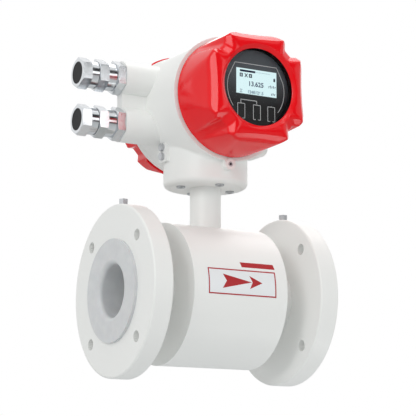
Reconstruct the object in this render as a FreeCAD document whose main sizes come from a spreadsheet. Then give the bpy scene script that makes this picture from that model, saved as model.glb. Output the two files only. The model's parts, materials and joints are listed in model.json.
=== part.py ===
import FreeCAD, Part

import math
import os

import Sketcher

# Electromagnetic flow meter, DN50, flanged, with a compact two-chamber converter.
# Frame: origin at the centre of the flow bore where the neck's axis crosses it,
# +X along the flow, -Y to the display and the flow label, +Z up to the converter.

doc = FreeCAD.newDocument("electromagnetic_flow_meter")

# ---------------------------------------------------------------- driving dimensions (mm)

SIZES = [
    # flanged measuring tube
    ("face_to_face", 200.0),
    ("flange_diameter", 165.0),
    ("flange_thickness", 20.0),
    ("flange_edge", 2.0),
    ("bolt_circle", 132.8),
    ("bolt_hole", 11.0),
    ("tube_outer", 60.3),
    ("tube_inner", 56.0),
    ("liner_bore", 50.0),
    ("liner_face", 98.4),
    ("liner_face_thickness", 3.1),
    ("liner_mouth", 5.0),
    # coil housing and neck
    ("shell_diameter", 136.6),
    ("shell_length", 101.6),
    ("shell_wall", 3.0),
    ("end_plate", 4.0),
    ("neck_outer", 30.4),
    ("neck_inner", 25.4),
    ("neck_reach", 2.0),
    ("seat_gap", 0.3),
    # electrodes
    ("electrode_rod", 6.0),
    ("electrode_head", 10.0),
    ("electrode_head_thickness", 1.5),
    ("electrode_length", 54.0),
    ("bush_outer", 12.0),
    ("bush_flange", 16.0),
    ("bush_flange_thickness", 1.5),
    ("socket_outer", 20.0),
    ("socket_reach", 42.0),
    ("electrode_nut_across", 10.0),
    ("electrode_nut_thickness", 5.0),
    # excitation coils
    ("pole_shoe_thickness", 4.0),
    ("pole_shoe_length", 60.0),
    ("pole_shoe_half_angle", 40.0),
    ("core_diameter", 16.0),
    ("coil_diameter", 44.0),
    ("coil_length", 18.0),
    ("yoke_radius", 62.3),
    ("yoke_thickness", 2.5),
    ("yoke_width", 20.0),
    # earthing screws on the flange rims
    ("rim_screw_thread", 5.0),
    ("rim_screw_across", 8.0),
    ("rim_screw_head", 5.2),
    ("rim_screw_length", 12.0),
    ("rim_washer", 9.2),
    ("rim_washer_thickness", 1.0),
    ("rim_flat_depth", 0.3),
    # flow direction label
    ("label_width", 74.0),
    ("label_height", 25.4),
    ("label_thickness", 0.2),
    ("label_lift_angle", 5.8),
    # neck flange and its screws
    ("base_bottom", 106.9),
    ("neck_flange_diameter", 70.0),
    ("neck_flange_thickness", 6.0),
    ("head_screw_circle", 55.2),
    ("head_screw_thread", 5.0),
    ("head_screw_head", 8.5),
    ("head_screw_head_height", 5.0),
    ("head_screw_recess", 3.5),
    ("head_screw_depth", 9.0),
    ("hex_socket", 4.0),
    ("neck_gasket_outer", 40.0),
    ("neck_gasket_thickness", 1.0),
    # converter housing
    ("drum_height", 188.0),
    ("drum_diameter", 120.0),
    ("drum_length", 93.6),
    ("drum_rim_height", 1.2),
    ("drum_rim_diameter", "=drum_diameter + 2 * drum_rim_height"),
    ("drum_rim_width", 3.0),
    ("collar_diameter", 104.0),
    ("collar_length", 11.7),
    ("chamber_diameter", 92.0),
    ("bulkhead_front", -2.0),
    ("bulkhead_rear", 4.0),
    ("base_margin", 5.5),
    ("base_diameter", "=drum_length - 2 * base_margin"),
    ("base_wall", 7.0),
    ("base_floor", 12.0),
    ("base_edge", 5.0),
    ("entry_outer", 34.0),
    ("entry_bore", 20.0),
    ("entry_end", 86.5),
    ("entry_y", 17.0),
    ("entry_spacing", 46.0),
    ("entry_web", 10.0),
    ("entry_web_inset", 2.0),
    ("blend", 3.0),
    ("lock_boss", 11.0),
    ("lock_boss_drop", 64.7),
    ("lock_boss_proud", 1.7),
    ("lock_boss_face", "=drum_length / 2 + lock_boss_proud"),
    ("lock_screw_thread", 5.0),
    ("lock_screw_length", 10.0),
    ("earth_pad_width", 13.0),
    ("earth_pad_height", 19.0),
    ("earth_pad_drop", 48.0),
    ("earth_pad_middle", "=drum_height - earth_pad_drop"),
    ("earth_pad_y", 5.0),
    ("earth_screw_thread", 4.0),
    ("earth_screw_head", 7.5),
    ("earth_screw_head_height", 3.0),
    ("earth_screw_depth", 8.0),
    ("earth_screw_pitch", 9.0),
    ("earth_head_top_drop", "=earth_pad_drop - earth_screw_pitch / 2 - earth_screw_head / 2"),
    ("earth_pad_off_drum", "=sqrt((drum_diameter / 2)^2 - earth_head_top_drop^2)"),
    ("earth_pad_lift", 3.0),
    ("earth_pad_off_base", "=base_diameter / 2 + earth_pad_lift"),
    ("earth_pad_proud", 0.2),
    ("earth_pad_reach", "=max(earth_pad_off_drum; earth_pad_off_base) + earth_pad_proud"),
    ("thread_play", 0.1),
    ("side_lug_width", 20.0),
    ("side_lug_proud", 8.0),
    ("side_lug_radius", "=drum_diameter / 2 + side_lug_proud"),
    ("side_lug_y", -24.0),
    ("side_lug_length", 20.0),
    # screwed covers
    ("cover_gap", 1.0),
    ("cover_fit", 0.3),
    ("cover_thread_length", 14.7),
    ("front_cover_rear_diameter", 116.2),
    ("front_cover_front_diameter", 114.4),
    ("front_cover_length", 56.2),
    ("front_cover_face", "=drum_length / 2 + front_cover_length"),
    ("front_cover_edge_drop", 1.4),
    ("bezel_outer", 82.6),
    ("bezel_inner", 74.4),
    ("bezel_depth", 3.0),
    ("bezel_lip", 0.5),
    ("cover_cavity", 98.0),
    ("front_cavity_depth", 28.0),
    ("front_cavity_end", "=front_cover_face - front_cavity_depth"),
    ("front_throat", 88.0),
    ("front_throat_depth", 15.0),
    ("front_throat_end", "=front_cover_face - front_throat_depth"),
    ("rear_cover_rim", 125.4),
    ("rear_cover_rim_width", 3.0),
    ("rear_cover_flank", 120.0),
    ("rear_cover_length", 26.0),
    ("rear_cover_face", "=drum_length / 2 + rear_cover_length"),
    ("rear_cover_back", 116.0),
    ("rear_cover_wall", 4.8),
    ("scoop_radius", 300.0),
    ("front_scoop_floor", 50.3),
    ("front_scoop_tilt", 10.0),
    ("front_bevel_floor", 44.3),
    ("front_bevel_tilt", 45.0),
    ("rear_scoop_floor", 52.5),
    ("rear_scoop_tilt", 22.5),
    ("front_valley_floor", 50.5),
    ("front_valley_tilt", 9.0),
    ("front_valley_width", 9.0),
    ("front_facet_floor", 41.5),
    ("front_facet_tilt", 58.0),
    ("valley_side", 40.0),
    ("rear_valley_floor", 52.6),
    ("rear_valley_tilt", 8.0),
    ("rear_valley_width", 9.0),
    ("seal_section", 2.15),
    ("seal_length", 3.4),
    ("seal_recess", 3.0),
    # window and display
    ("glass_diameter", 81.0),
    ("glass_thickness", 4.5),
    ("window_gasket_inner", 74.6),
    ("window_gasket_thickness", 1.5),
    ("window_ring_inner", 75.2),
    ("window_ring_thickness", 3.0),
    ("panel_diameter", 73.8),
    ("panel_depth", 9.6),
    ("panel_face", "=front_cover_face - panel_depth"),
    ("panel_thickness", 2.0),
    ("panel_skirt", 10.0),
    ("panel_skirt_wall", 2.0),
    ("lcd_width", 44.4),
    ("lcd_height", 24.3),
    ("lcd_x", 1.85),
    ("lcd_z", 5.85),
    ("lcd_thickness", 5.0),
    ("lcd_sink", 0.3),
    ("fit_gap", 0.2),
    ("board_thickness", 1.6),
    ("display_board_diameter", 69.0),
    ("main_board_diameter", 84.0),
    ("main_board_front", 38.0),
    ("post_diameter", 6.0),
    ("post_circle", 56.0),
    ("power_module_width", 36.0),
    ("power_module_depth", 20.0),
    ("power_module_height", 28.0),
    ("terminal_width", 62.0),
    ("terminal_height", 22.0),
    ("terminal_depth", 18.0),
    ("terminal_pitch", 10.0),
    ("terminal_screw", 5.0),
    # cable glands
    ("gland_third_across", 29.4),
    ("gland_third_length", 9.0),
    ("gland_round", 27.0),
    ("gland_round_length", 9.0),
    ("gland_mid_across", 28.0),
    ("gland_mid_length", 10.0),
    ("gland_thread_length", 14.5),
    ("gland_spigot", 22.0),
    ("gland_spigot_length", 11.5),
    ("gland_bore", 14.0),
    ("gland_nut_gap", 0.3),
    ("gland_nut_round", 26.6),
    ("gland_nut_round_length", 7.5),
    ("gland_nut_across", 27.2),
    ("gland_nut_length", 10.0),
    ("gland_nut_fit", 0.3),
    ("gland_nut_lip", 0.5),
    ("gland_disc", 21.0),
    ("gland_disc_thickness", 4.0),
    ("gland_disc_sink", 0.4),
    ("gland_bush_bore", 7.0),
    ("gland_bush_length", 12.0),
    ("gland_chamfer", 0.8),
]


def make_sheet():
    sheet = doc.addObject("Spreadsheet::Sheet", "sizes")
    for row, (name, value) in enumerate(SIZES, start=1):
        sheet.set(f"A{row}", name)
        sheet.set(f"B{row}", str(value))
        sheet.setAlias(f"B{row}", name)
    doc.recompute()
    return sheet


sheet = make_sheet()


def size(name):
    return float(sheet.get(name))


# ---------------------------------------------------------------- building blocks

X_AXIS = FreeCAD.Vector(1, 0, 0)
Y_AXIS = FreeCAD.Vector(0, 1, 0)
Z_AXIS = FreeCAD.Vector(0, 0, 1)
ORIGIN = FreeCAD.Vector(0, 0, 0)

UPRIGHT = FreeCAD.Rotation()
ALONG_X = FreeCAD.Rotation(Y_AXIS, 90)
ALONG_MINUS_X = FreeCAD.Rotation(Y_AXIS, -90)
ALONG_Y = FreeCAD.Rotation(X_AXIS, -90)
ALONG_MINUS_Y = FreeCAD.Rotation(X_AXIS, 90)


def refs(text):
    """Prefix each word of a size expression with the sheet's name."""
    words = []
    for word in text.split():
        plain = word.strip("()")
        words.append(word.replace(plain, "sizes." + plain) if plain[:1].isalpha() else word)
    return " ".join(words)


def bind(obj, **expressions):
    for prop, text in expressions.items():
        obj.setExpression(prop.replace("__", "."), refs(text))
    return obj


def place(obj, rotation=UPRIGHT, x="0", y="0", z="0"):
    obj.Placement = FreeCAD.Placement(ORIGIN, rotation)
    return bind(obj, Placement__Base__x=x, Placement__Base__y=y, Placement__Base__z=z)


def cylinder(name, diameter, length, rotation=UPRIGHT, x="0", y="0", z="0"):
    obj = doc.addObject("Part::Cylinder", name)
    bind(obj, Radius=f"( {diameter} ) / 2", Height=length)
    return place(obj, rotation, x, y, z)


def box(name, length, width, height, x, y, z, rotation=UPRIGHT):
    obj = doc.addObject("Part::Box", name)
    bind(obj, Length=length, Width=width, Height=height)
    return place(obj, rotation, x, y, z)


def hexagon(name, across, length, rotation=UPRIGHT, x="0", y="0", z="0"):
    obj = doc.addObject("Part::Prism", name)
    obj.Polygon = 6
    bind(obj, Circumradius=f"{across} / {math.sqrt(3):.6f}", Height=length)
    return place(obj, rotation, x, y, z)


def fuse(name, shapes):
    obj = doc.addObject("Part::MultiFuse", name)
    obj.Shapes = shapes
    return obj


def cut(name, base, tool):
    obj = doc.addObject("Part::Cut", name)
    obj.Base = base
    obj.Tool = tool
    return obj


def common(name, base, tool):
    obj = doc.addObject("Part::Common", name)
    obj.Base = base
    obj.Tool = tool
    return obj


def origin_plane(body, role):
    return next(part for part in body.Origin.OriginFeatures if part.Role == role)


def sketch_on(body, name, role):
    sketch = body.newObject("Sketcher::SketchObject", name)
    sketch.AttachmentSupport = [(origin_plane(body, role), "")]
    sketch.MapMode = "FlatFace"
    return sketch


def outline(body, name, role, corners):
    """A closed outline with straight sides: each corner is a pair of size expressions."""
    sketch = sketch_on(body, name, role)
    count = len(corners)
    turns = [2 * math.pi * index / count for index in range(count)]
    ring = [FreeCAD.Vector(30 * math.cos(turn), 30 * math.sin(turn), 0) for turn in turns]
    sides = [Part.LineSegment(ring[index], ring[(index + 1) % count]) for index in range(count)]
    sketch.addGeometry(sides, False)
    links = [
        Sketcher.Constraint("Coincident", index, 2, (index + 1) % count, 1)
        for index in range(count)
    ]
    sketch.addConstraint(links)
    for index, (across, up) in enumerate(corners):
        for kind, text in (("DistanceX", across), ("DistanceY", up)):
            number = sketch.addConstraint(Sketcher.Constraint(kind, index, 1, 1.0))
            sketch.setExpression(f"Constraints[{number}]", refs(text))
    return sketch


def circle_sketch(body, name, role, diameter, across="0", up="0"):
    sketch = sketch_on(body, name, role)
    start = Part.Circle(FreeCAD.Vector(1, 1, 0), Z_AXIS, 2.0)
    sketch.addGeometry(start, False)
    places = (("Diameter", diameter), ("DistanceX", across), ("DistanceY", up))
    for kind, text in places:
        target = (0,) if kind == "Diameter" else (0, 3)
        number = sketch.addConstraint(Sketcher.Constraint(kind, *target, 1.0))
        sketch.setExpression(f"Constraints[{number}]", refs(text))
    return sketch


def turned(name, axis, corners):
    """A body turned from one outline of (radius, position) pairs about X, Y or Z."""
    body = doc.addObject("PartDesign::Body", name)
    if axis == "X":
        corners = [(along, radius) for radius, along in corners]
    role = "XZ_Plane" if axis == "Z" else "XY_Plane"
    sketch = outline(body, name + "_outline", role, corners)
    turn = body.newObject("PartDesign::Revolution", name + "_turn")
    turn.Profile = sketch
    turn.ReferenceAxis = (sketch, ["H_Axis" if axis == "X" else "V_Axis"])
    turn.Angle = 360
    body.Tip = turn
    return body


def through_pocket(body, name, sketch):
    pocket = body.newObject("PartDesign::Pocket", name)
    pocket.Profile = sketch
    pocket.Type = "ThroughAll"
    pocket.Midplane = True
    body.Tip = pocket
    return pocket


def ring_pattern(body, name, feature, axis_role, count):
    pattern = body.newObject("PartDesign::PolarPattern", name)
    pattern.Originals = [feature]
    pattern.Axis = (origin_plane(body, axis_role), [""])
    pattern.Angle = 360
    pattern.Occurrences = count
    body.Tip = pattern
    return pattern


def edges_where(shape, test):
    return [f"Edge{number}" for number, edge in enumerate(shape.Edges, start=1) if test(edge)]


def is_circle(edge, radius, centre=None):
    curve = edge.Curve
    if not isinstance(curve, Part.Circle) or abs(curve.Radius - radius) > 0.01:
        return False
    return centre is None or (curve.Center - centre).Length < 0.01


def round_edges(body, name, test, radius):
    doc.recompute()
    base = body.Tip
    fillet = body.newObject("PartDesign::Fillet", name)
    fillet.Base = (base, edges_where(base.Shape, test))
    bind(fillet, Radius=radius)
    body.Tip = fillet
    return fillet


parts = []


def keep(obj, label):
    """Give a finished sub-part its own label and list it for the export."""
    obj.Label = label
    parts.append(obj)
    return obj


# ---------------------------------------------------------------- measuring tube

FRONT = -1
REAR = 1
INLET = -1
OUTLET = 1
DIAGONAL = f"{math.sqrt(0.5):.6f}"


def measuring_tube():
    wall = cylinder("tube_wall", "tube_outer", "face_to_face", ALONG_X, x="- face_to_face / 2")
    socket = cylinder("tube_sockets", "socket_outer", "2 * socket_reach", ALONG_Y, y="- socket_reach")
    bore = cylinder("tube_bore", "tube_inner", "face_to_face", ALONG_X, x="- face_to_face / 2")
    hole = cylinder("tube_holes", "bush_outer", "2 * socket_reach", ALONG_Y, y="- socket_reach")
    solid = fuse("tube_solid", [wall, socket])
    hollow = fuse("tube_hollow", [bore, hole])
    return keep(cut("tube", solid, hollow), "measuring_tube")


def liner():
    corners = [
        ("liner_bore / 2", "- face_to_face / 2 - liner_face_thickness"),
        ("liner_face / 2", "- face_to_face / 2 - liner_face_thickness"),
        ("liner_face / 2", "- face_to_face / 2"),
        ("tube_inner / 2", "- face_to_face / 2"),
        ("tube_inner / 2", "face_to_face / 2"),
        ("liner_face / 2", "face_to_face / 2"),
        ("liner_face / 2", "face_to_face / 2 + liner_face_thickness"),
        ("liner_bore / 2", "face_to_face / 2 + liner_face_thickness"),
    ]
    body = turned("lining", "X", corners)
    mouth = size("liner_bore") / 2
    round_edges(body, "lining_mouths", lambda edge: is_circle(edge, mouth), "liner_mouth")
    holes = circle_sketch(body, "lining_rod_holes", "XZ_Plane", "electrode_rod")
    through_pocket(body, "lining_rod_cut", holes)
    seats = circle_sketch(body, "lining_head_seats", "XZ_Plane", "electrode_head")
    seat_cut = through_pocket(body, "lining_head_cut", seats)
    seat_cut.Type = "Length"
    bind(seat_cut, Length="liner_bore + 2 * electrode_head_thickness")
    return keep(body, "liner")


def flange(label, side):
    """A weld-on flange: bolt holes off the centre lines and a flat for its earthing screw."""
    back = f"{side} * ( face_to_face / 2 - flange_thickness )"
    face = f"{side} * face_to_face / 2"
    corners = [
        ("tube_outer / 2", back),
        ("flange_diameter / 2", back),
        ("flange_diameter / 2", face),
        ("tube_outer / 2", face),
    ]
    body = turned(label + "_disc", "X", corners)
    rim = size("flange_diameter") / 2
    round_edges(body, label + "_edge", lambda edge: is_circle(edge, rim), "flange_edge")
    offset = f"bolt_circle / 2 * {DIAGONAL}"
    hole = circle_sketch(body, label + "_hole", "YZ_Plane", "bolt_hole", offset, offset)
    hole_cut = through_pocket(body, label + "_hole_cut", hole)
    ring_pattern(body, label + "_holes", hole_cut, "X_Axis", 4)
    middle = f"{side} * ( face_to_face / 2 - flange_thickness / 2 )"
    flat_at = "flange_diameter / 2 - rim_flat_depth"
    flat = circle_sketch(body, label + "_flat", "XY_Plane", "rim_washer + 1", middle)
    bind(flat, AttachmentOffset__Base__z=flat_at)
    flat_cut = body.newObject("PartDesign::Pocket", label + "_flat_cut")
    flat_cut.Profile = flat
    flat_cut.Reversed = True
    bind(flat_cut, Length="rim_washer")
    tapping = circle_sketch(body, label + "_tapping", "XY_Plane", "rim_screw_thread", middle)
    bind(tapping, AttachmentOffset__Base__z=flat_at)
    tapping_cut = body.newObject("PartDesign::Pocket", label + "_tapping_cut")
    tapping_cut.Profile = tapping
    bind(tapping_cut, Length="rim_screw_length")
    body.Tip = tapping_cut
    return keep(body, label)


def rim_screw(label, side):
    """Earthing screw that stands on a flange's rim, with its washer as a piece of its own."""
    middle = f"{side} * ( face_to_face / 2 - flange_thickness / 2 )"
    flat_at = "flange_diameter / 2 - rim_flat_depth"
    ring = cylinder(label + "_ring", "rim_washer", "rim_washer_thickness", x=middle, z=flat_at)
    ring_hole = cylinder(
        label + "_ring_hole", "rim_screw_thread", "rim_washer_thickness", x=middle, z=flat_at
    )
    keep(cut(label + "_washer_cut", ring, ring_hole), label + "_washer")
    head_at = flat_at + " + rim_washer_thickness"
    head = hexagon(label + "_head", "rim_screw_across", "rim_screw_head", x=middle, z=head_at)
    shank = cylinder(
        label + "_shank",
        "rim_screw_thread",
        "rim_screw_length + rim_washer_thickness",
        x=middle,
        z=flat_at + " - rim_screw_length",
    )
    return keep(fuse(label + "_solid", [head, shank]), label)


# ---------------------------------------------------------------- electrodes and coils


def towards(side):
    return ALONG_Y if side > 0 else ALONG_MINUS_Y


def electrode(label, side):
    """Flat head flush with the lining, and the rod that carries the signal out."""
    turn = towards(side)
    head = cylinder(
        label + "_head", "electrode_head", "electrode_head_thickness", turn, y=f"{side} * liner_bore / 2"
    )
    rod = cylinder(
        label + "_rod",
        "electrode_rod",
        "electrode_length - liner_bore / 2",
        turn,
        y=f"{side} * liner_bore / 2",
    )
    return keep(fuse(label + "_solid", [head, rod]), label)


def electrode_bush(label, side):
    """Insulating bush that keeps the electrode clear of the steel socket."""
    turn = towards(side)
    start = "( tube_inner / 2 + fit_gap )"
    sleeve = cylinder(
        label + "_sleeve", "bush_outer", f"socket_reach - {start}", turn, y=f"{side} * {start}"
    )
    collar = cylinder(
        label + "_collar", "bush_flange", "bush_flange_thickness", turn, y=f"{side} * socket_reach"
    )
    bore = cylinder(
        label + "_bore",
        "electrode_rod",
        f"socket_reach + bush_flange_thickness - {start}",
        turn,
        y=f"{side} * {start}",
    )
    return keep(cut(label + "_cut", fuse(label + "_solid", [sleeve, collar]), bore), label)


def electrode_nuts():
    """Both clamping nuts: like fasteners share one node."""
    nuts = []
    for name, side in (("front", FRONT), ("rear", REAR)):
        seat = f"{side} * ( socket_reach + bush_flange_thickness )"
        blank = hexagon(
            name + "_nut", "electrode_nut_across", "electrode_nut_thickness", towards(side), y=seat
        )
        hole = cylinder(
            name + "_nut_hole", "electrode_rod", "electrode_nut_thickness", towards(side), y=seat
        )
        nuts.append(cut(name + "_nut_cut", blank, hole))
    return keep(fuse("both_nuts", nuts), "electrode_nuts")


SHOE_OUTER = "( tube_outer / 2 + seat_gap + pole_shoe_thickness )"
YOKE_INNER = "( yoke_radius - yoke_thickness )"


def pole_piece(label, turn):
    """Curved shoe over the tube with a round core that reaches the yoke."""
    body = doc.addObject("PartDesign::Body", label + "_shoe")
    corners = [
        ("- pole_shoe_length / 2", "tube_outer / 2 + seat_gap"),
        ("pole_shoe_length / 2", "tube_outer / 2 + seat_gap"),
        ("pole_shoe_length / 2", SHOE_OUTER),
        ("- pole_shoe_length / 2", SHOE_OUTER),
    ]
    sketch = outline(body, label + "_shoe_outline", "XZ_Plane", corners)
    arc = body.newObject("PartDesign::Revolution", label + "_shoe_turn")
    arc.Profile = sketch
    arc.ReferenceAxis = (sketch, ["H_Axis"])
    arc.Midplane = True
    bind(arc, Angle="2 * pole_shoe_half_angle")
    body.Tip = arc
    body.Placement = FreeCAD.Placement(ORIGIN, turn)
    start = "( tube_outer / 2 + seat_gap + pole_shoe_thickness / 2 )"
    direction = 1 if turn.Angle == 0 else -1
    core = cylinder(
        label + "_core", "core_diameter", f"yoke_radius - {start}", turn, z=f"{direction} * {start}"
    )
    inside = cylinder(
        label + "_limit", f"2 * {YOKE_INNER}", "pole_shoe_length", ALONG_X, x="- pole_shoe_length / 2"
    )
    solid = fuse(label + "_solid", [body, core])
    return keep(common(label + "_trim", solid, inside), label)


def excitation_coil(label, turn):
    direction = 1 if turn.Angle == 0 else -1
    start = f"{direction} * ( {SHOE_OUTER} + fit_gap )"
    winding = cylinder(label + "_winding", "coil_diameter", "coil_length", turn, z=start)
    opening = cylinder(
        label + "_opening", "core_diameter + 2 * fit_gap", "coil_length", turn, z=start
    )
    return keep(cut(label + "_cut", winding, opening), label)


def yoke():
    corners = [
        (YOKE_INNER, "- yoke_width / 2"),
        ("yoke_radius", "- yoke_width / 2"),
        ("yoke_radius", "yoke_width / 2"),
        (YOKE_INNER, "yoke_width / 2"),
    ]
    return keep(turned("yoke_ring", "X", corners), "magnet_yoke")


# ---------------------------------------------------------------- coil housing and neck


def coil_housing():
    inner = "shell_diameter / 2 - shell_wall"
    corners = [
        (inner, "- shell_length / 2"),
        ("shell_diameter / 2", "- shell_length / 2"),
        ("shell_diameter / 2", "shell_length / 2"),
        (inner, "shell_length / 2"),
    ]
    body = turned("shell", "X", corners)
    sketch = circle_sketch(body, "shell_neck_hole", "XY_Plane", "neck_outer")
    opening = body.newObject("PartDesign::Pocket", "shell_neck_cut")
    opening.Profile = sketch
    opening.Reversed = True
    bind(opening, Length="shell_diameter")
    body.Tip = opening
    return keep(body, "coil_housing")


def end_plate(label, side):
    inside = f"{side} * ( shell_length / 2 - end_plate )"
    outside = f"{side} * shell_length / 2"
    corners = [
        ("tube_outer / 2", inside),
        ("shell_diameter / 2 - shell_wall", inside),
        ("shell_diameter / 2 - shell_wall", outside),
        ("tube_outer / 2", outside),
    ]
    return keep(turned(label + "_ring", "X", corners), label)


NECK_START = "( shell_diameter / 2 - shell_wall - neck_reach )"
NECK_TOP = "( base_bottom + neck_flange_thickness )"


def neck_tube():
    corners = [
        ("neck_inner / 2", NECK_START),
        ("neck_outer / 2", NECK_START),
        ("neck_outer / 2", NECK_TOP),
        ("neck_inner / 2", NECK_TOP),
    ]
    return keep(turned("neck_pipe", "Z", corners), "neck_tube")


def neck_flange():
    corners = [
        ("neck_outer / 2", "base_bottom"),
        ("neck_flange_diameter / 2", "base_bottom"),
        ("neck_flange_diameter / 2", NECK_TOP),
        ("neck_outer / 2", NECK_TOP),
    ]
    body = turned("neck_disc", "Z", corners)
    across = "head_screw_circle / 2"
    hole = circle_sketch(
        body, "neck_disc_hole", "XY_Plane", "head_screw_thread + 2 * fit_gap", across
    )
    ring_pattern(
        body, "neck_disc_holes", through_pocket(body, "neck_disc_hole_cut", hole), "Z_Axis", 4
    )
    recess = circle_sketch(
        body, "neck_disc_recess", "XY_Plane", "head_screw_head + 2 * seat_gap", across
    )
    bind(recess, AttachmentOffset__Base__z="base_bottom")
    recess_cut = body.newObject("PartDesign::Pocket", "neck_disc_recess_cut")
    recess_cut.Profile = recess
    recess_cut.Reversed = True
    bind(recess_cut, Length="head_screw_recess")
    ring_pattern(body, "neck_disc_recesses", recess_cut, "Z_Axis", 4)
    return keep(body, "neck_flange")


QUARTERS = ((1, 0), (0, 1), (-1, 0), (0, -1))


def head_screws():
    """Four cap screws from below; they share one node."""
    screws = []
    seat = "base_bottom + head_screw_recess"
    for number, (right, back) in enumerate(QUARTERS):
        spot = {"x": f"{right} * head_screw_circle / 2", "y": f"{back} * head_screw_circle / 2"}
        name = f"head_screw_{number}_"
        head = cylinder(
            name + "head",
            "head_screw_head",
            "head_screw_head_height",
            z=seat + " - head_screw_head_height",
            **spot,
        )
        shank = cylinder(
            name + "shank",
            "head_screw_thread",
            "neck_flange_thickness - head_screw_recess + head_screw_depth",
            z=seat,
            **spot,
        )
        socket = hexagon(
            name + "socket",
            "hex_socket",
            "head_screw_head_height / 2",
            z=seat + " - head_screw_head_height",
            **spot,
        )
        screws.append(cut(name + "cut", fuse(name + "solid", [head, shank]), socket))
    return keep(fuse("head_screw_set", screws), "head_screws")


def neck_gasket():
    corners = [
        ("neck_outer / 2", NECK_TOP),
        ("neck_gasket_outer / 2", NECK_TOP),
        ("neck_gasket_outer / 2", NECK_TOP + " + neck_gasket_thickness"),
        ("neck_outer / 2", NECK_TOP + " + neck_gasket_thickness"),
    ]
    return keep(turned("neck_seal", "Z", corners), "neck_gasket")


def flow_label():
    """Self-adhesive label on the display side of the coil housing."""
    body = doc.addObject("PartDesign::Body", "label_foil")
    corners = [
        ("- label_width / 2", "shell_diameter / 2"),
        ("label_width / 2", "shell_diameter / 2"),
        ("label_width / 2", "shell_diameter / 2 + label_thickness"),
        ("- label_width / 2", "shell_diameter / 2 + label_thickness"),
    ]
    sketch = outline(body, "label_outline", "XY_Plane", corners)
    arc = body.newObject("PartDesign::Revolution", "label_turn")
    arc.Profile = sketch
    arc.ReferenceAxis = (sketch, ["H_Axis"])
    arc.Midplane = True
    bind(arc, Angle=f"{math.degrees(2):.6f} * label_height / shell_diameter")
    body.Tip = arc
    body.Placement = FreeCAD.Placement(ORIGIN, FreeCAD.Rotation(X_AXIS, 180))
    bind(body, Placement__Rotation__Angle="180 - label_lift_angle")
    return keep(body, "flow_label")


# ---------------------------------------------------------------- converter housing

DRUM_HALF = "( drum_length / 2 )"
COLLAR_END = "( drum_length / 2 + collar_length )"
BASE_CEILING = "( drum_height - chamber_diameter / 2 + blend )"


def drum_form():
    """The drum with its two rims and the threaded collars that the covers screw on."""
    side = [
        ("0", COLLAR_END),
        ("collar_diameter / 2", COLLAR_END),
        ("collar_diameter / 2", DRUM_HALF),
        ("drum_rim_diameter / 2", DRUM_HALF),
        ("drum_rim_diameter / 2", f"{DRUM_HALF} - drum_rim_width"),
        ("drum_diameter / 2", f"{DRUM_HALF} - drum_rim_width - drum_rim_height"),
    ]
    mirrored = [(radius, f"- ( {along} )") for radius, along in reversed(side)]
    return place(turned("drum", "Y", side + mirrored), z="drum_height")


def base_form():
    corners = [
        ("0", "base_bottom"),
        ("base_diameter / 2", "base_bottom"),
        ("base_diameter / 2", "drum_height"),
        ("0", "drum_height"),
    ]
    body = turned("base", "Z", corners)
    foot = FreeCAD.Vector(0, 0, size("base_bottom"))
    radius = size("base_diameter") / 2
    round_edges(body, "base_edge_round", lambda edge: is_circle(edge, radius, foot), "base_edge")
    return body


ENTRIES = (("upper", 1), ("lower", -1))


def entry_height(level):
    return f"drum_height + {level} * entry_spacing / 2"


def entry_bosses():
    return [
        cylinder(
            name + "_entry_boss",
            "entry_outer",
            "entry_end",
            ALONG_MINUS_X,
            y="entry_y",
            z=entry_height(level),
        )
        for name, level in ENTRIES
    ]


def entry_web():
    return box(
        "entry_web",
        "entry_end",
        "entry_web",
        "entry_spacing",
        "- entry_end",
        "entry_y - entry_web / 2",
        "drum_height - entry_spacing / 2",
    )


def lock_boss():
    """Boss below the front rim that holds the cover's lock screw."""
    depth = f"( {DRUM_HALF} - lock_boss )"
    eye = cylinder(
        "lock_eye",
        "lock_boss",
        "lock_boss_face - " + depth,
        ALONG_Y,
        y="- lock_boss_face",
        z="drum_height - lock_boss_drop",
    )
    rib = box(
        "lock_rib",
        "lock_boss",
        f"{DRUM_HALF} - {depth}",
        "lock_boss",
        "- lock_boss / 2",
        f"- {DRUM_HALF}",
        "drum_height - lock_boss_drop",
    )
    return [eye, rib]


def earth_pad():
    """Cast pad on the inlet side of the base that carries the outer earth terminal."""
    return box(
        "earth_pad",
        "earth_pad_reach",
        "earth_pad_width",
        "earth_pad_height",
        "- earth_pad_reach",
        "earth_pad_y - earth_pad_width / 2",
        "earth_pad_middle - earth_pad_height / 2",
    )


def earth_height(level):
    return f"earth_pad_middle + {level} * earth_screw_pitch / 2"


def side_lug():
    """Rounded lug low on the outlet side of the drum."""
    spot = f"{DIAGONAL} * ( side_lug_radius - side_lug_width / 2 )"
    return cylinder(
        "side_lug_form",
        "side_lug_width",
        "side_lug_length",
        ALONG_Y,
        x=spot,
        y="side_lug_y - side_lug_length / 2",
        z=f"drum_height - {spot}",
    )


def wall_radii(edge, shape, axis):
    """Radii of the round walls along one axis that meet at an edge."""
    surfaces = [face.Surface for face in shape.ancestorsOfType(edge, Part.Face)]
    round_walls = [wall for wall in surfaces if isinstance(wall, Part.Cylinder)]
    return [wall.Radius for wall in round_walls if abs(wall.Axis.dot(axis)) > 0.99]


def blended_trunk():
    """Drum and base as one form, with the inner corner between them rounded."""
    trunk = fuse("housing_trunk", [drum_form(), base_form()])
    trunk.Refine = True
    doc.recompute()
    shape = trunk.Shape
    drum_radius = size("drum_diameter") / 2
    base_radius = size("base_diameter") / 2
    blend = doc.addObject("Part::Fillet", "housing_trunk_blend")
    blend.Base = trunk
    radius = size("blend")
    blend.Edges = [
        (number, radius, radius)
        for number, edge in enumerate(shape.Edges, start=1)
        if any(abs(wall - drum_radius) < 0.01 for wall in wall_radii(edge, shape, Y_AXIS))
        and any(abs(wall - base_radius) < 0.01 for wall in wall_radii(edge, shape, Z_AXIS))
    ]
    return blend


def chamber(name, start, end):
    return cylinder(name, "chamber_diameter", f"{end} - ( {start} )", ALONG_Y, y=start, z="drum_height")


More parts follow.
